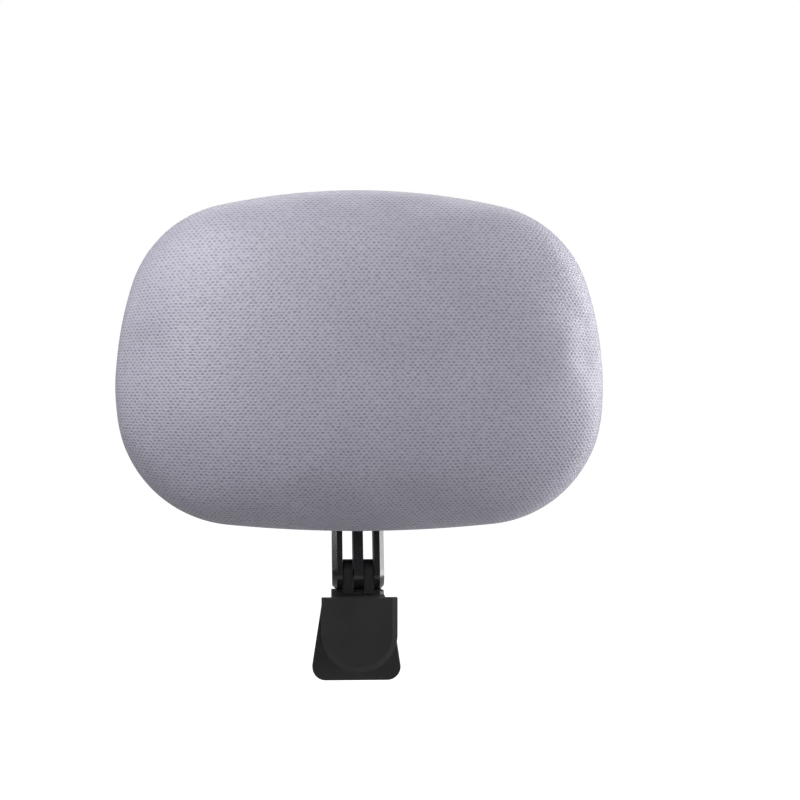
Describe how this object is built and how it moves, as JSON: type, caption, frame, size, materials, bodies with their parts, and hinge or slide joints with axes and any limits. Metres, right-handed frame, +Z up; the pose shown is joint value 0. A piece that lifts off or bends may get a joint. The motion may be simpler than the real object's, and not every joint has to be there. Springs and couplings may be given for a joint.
{
  "type": "chair headrest attachment",
  "caption": "Padded mesh headrest on a tilting link arm, held to the top rail of a chair back by a screw clamp.",
  "frame": {"origin": "middle of the clamp's seat, the downward face that rests on the top edge of the chair back", "axes": "+X across the chair, +Y away from the sitter, +Z up; the cushion faces -Y"},
  "size_m": [0.272, 0.127, 0.284],
  "materials": {
    "mesh_fabric": "knitted air mesh, lilac grey",
    "foam": "moulded foam",
    "board": "moulded board",
    "shell_plastic": "fine-textured black",
    "arm_plastic": "semi-gloss black",
    "clamp_plastic": "satin black",
    "knob_plastic": "textured black",
    "pad_rubber": "soft matt rubber",
    "black_steel": "black oxide",
    "zinc_steel": "zinc plated",
    "brass": "machined"
  },
  "bodies": {
    "clamp": {"clamp_frame": "clamp_plastic", "front_jaw_pad": "pad_rubber", "thread_insert": "brass"},
    "arm": {"link_arm": "arm_plastic", "lower_pivot_bolt": "black_steel", "lower_pivot_washer": "zinc_steel", "lower_pivot_nut": "zinc_steel", "upper_pivot_bolt": "black_steel", "upper_pivot_washer": "zinc_steel", "upper_pivot_nut": "zinc_steel"},
    "headrest": {"bracket": "shell_plastic", "back_shell": "shell_plastic", "inner_board": "board", "foam_pad": "foam", "mesh_cover": "mesh_fabric", "bracket_screw_1": "black_steel", "bracket_screw_2": "black_steel", "bracket_screw_3": "black_steel", "bracket_screw_4": "black_steel", "tee_nut_1": "zinc_steel", "tee_nut_2": "zinc_steel", "tee_nut_3": "zinc_steel", "tee_nut_4": "zinc_steel", "shell_screw_1": "black_steel", "shell_screw_2": "black_steel", "shell_screw_3": "black_steel", "shell_screw_4": "black_steel"},
    "pressure_jaw": {"pressure_plate": "clamp_plastic", "pressure_pad": "pad_rubber"},
    "screw": {"clamp_screw": "zinc_steel", "retaining_clip": "zinc_steel", "knob": "knob_plastic"}
  },
  "joints": [
    {"name": "arm_tilt", "type": "hinge", "parent": "clamp", "child": "arm", "pos_m": [0, 0, 0.024], "axis": [1, 0, 0], "range_deg": [-35, 35]},
    {"name": "headrest_tilt", "type": "hinge", "parent": "arm", "child": "headrest", "pos_m": [0, 0.02627, 0.10484], "axis": [1, 0, 0], "range_deg": [-45, 18]},
    {"name": "clamp_slide", "type": "slide", "parent": "clamp", "child": "pressure_jaw", "axis": [0, 1, 0], "range_m": [-0.012, 0.003]},
    {"name": "screw_turn", "type": "hinge", "parent": "pressure_jaw", "child": "screw", "pos_m": [0, 0, -0.014], "axis": [0, 1, 0], "range_deg": [-3457, 865]}
  ],
  "couplings": [
    {"joint": "screw_turn", "follows": "clamp_slide", "rad_per_m": 5026.5}
  ]
}
